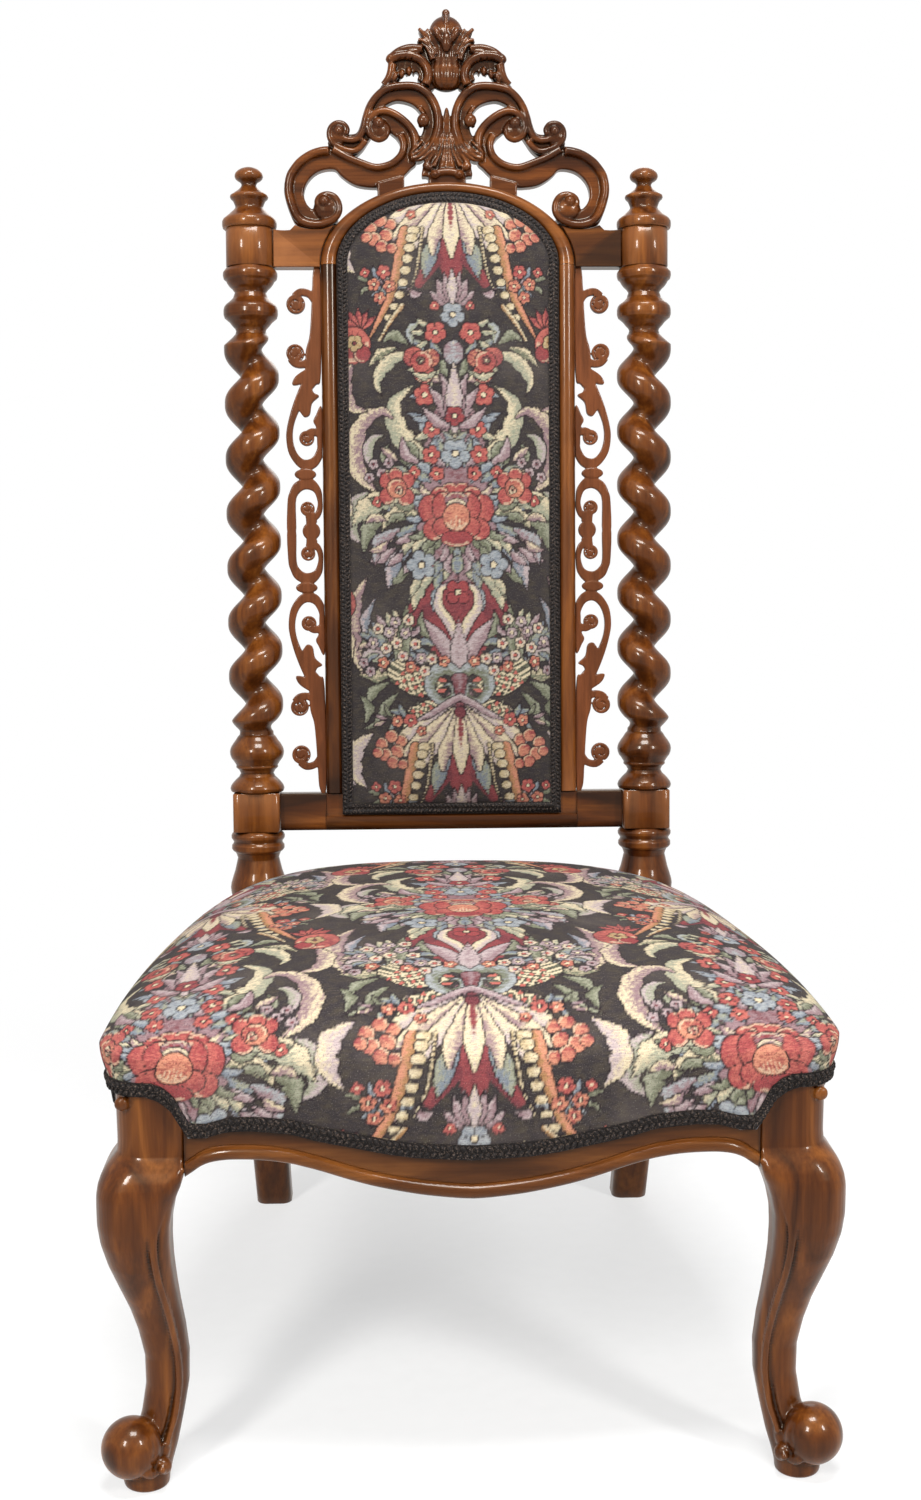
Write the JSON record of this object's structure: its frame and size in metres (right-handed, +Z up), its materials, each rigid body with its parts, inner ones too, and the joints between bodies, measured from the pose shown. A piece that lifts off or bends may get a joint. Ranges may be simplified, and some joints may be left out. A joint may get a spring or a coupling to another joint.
{
  "type": "balloon back chair",
  "caption": "Low upholstered chair with a tall narrow padded back between twist-turned posts, a pierced scrolled crest, a domed sprung seat and scroll-footed cabriole front legs.",
  "frame": {"origin": "on the floor under the middle of the chair's outline seen from above", "axes": "+Z up, +X to the right seen from the front, +Y from the front of the seat towards the back"},
  "size_m": [0.5296, 0.589, 1.1337],
  "materials": {
    "walnut": "polished",
    "dark_walnut": "polished",
    "fret_wood": "waxed",
    "beech": "unfinished",
    "tapestry": "woven",
    "braid": "woven",
    "black_cloth": "plain weave",
    "hessian": "coarse weave",
    "horsehair": "matted fibre",
    "jute": "webbing weave",
    "spring_steel": "copper-washed",
    "screw_steel": "dull"
  },
  "bodies": {
    "root": {"finial_left": "walnut", "back_stile_left": "walnut", "shoulder_rail_left": "walnut", "fret_panel_left": "fret_wood", "crest_dowel_left": "beech", "finial_right": "walnut", "back_stile_right": "walnut", "shoulder_rail_right": "walnut", "fret_panel_right": "fret_wood", "crest_dowel_right": "beech", "arch_head": "walnut", "back_bottom_rail": "walnut", "crest_carving": "dark_walnut", "back_hessian": "hessian", "back_stuffing": "horsehair", "back_cover": "tapestry", "back_gimp": "braid", "back_outer_cover": "black_cloth", "back_outer_gimp": "braid", "rear_upright_left": "walnut", "rear_upright_right": "walnut", "front_leg_left": "walnut", "corner_block_front_left": "beech", "screw_front_left_cross": "screw_steel", "screw_front_left_side": "screw_steel", "corner_block_rear_left": "beech", "screw_rear_left_cross": "screw_steel", "screw_rear_left_side": "screw_steel", "front_leg_right": "walnut", "corner_block_front_right": "beech", "screw_front_right_cross": "screw_steel", "screw_front_right_side": "screw_steel", "corner_block_rear_right": "beech", "screw_rear_right_cross": "screw_steel", "screw_rear_right_side": "screw_steel", "front_rail": "walnut", "rear_rail": "beech", "side_rail_left": "walnut", "side_rail_right": "walnut", "webbing_cross_1": "jute", "webbing_long_1": "jute", "webbing_cross_2": "jute", "webbing_long_2": "jute", "webbing_cross_3": "jute", "webbing_long_3": "jute", "seat_spring_1": "spring_steel", "seat_spring_2": "spring_steel", "seat_spring_3": "spring_steel", "seat_spring_4": "spring_steel", "seat_spring_5": "spring_steel", "spring_hessian": "hessian", "seat_stuffing": "horsehair", "seat_cover": "tapestry", "seat_gimp": "braid", "seat_gimp_rear": "braid", "dust_cloth": "black_cloth"}
  },
  "joints": []
}
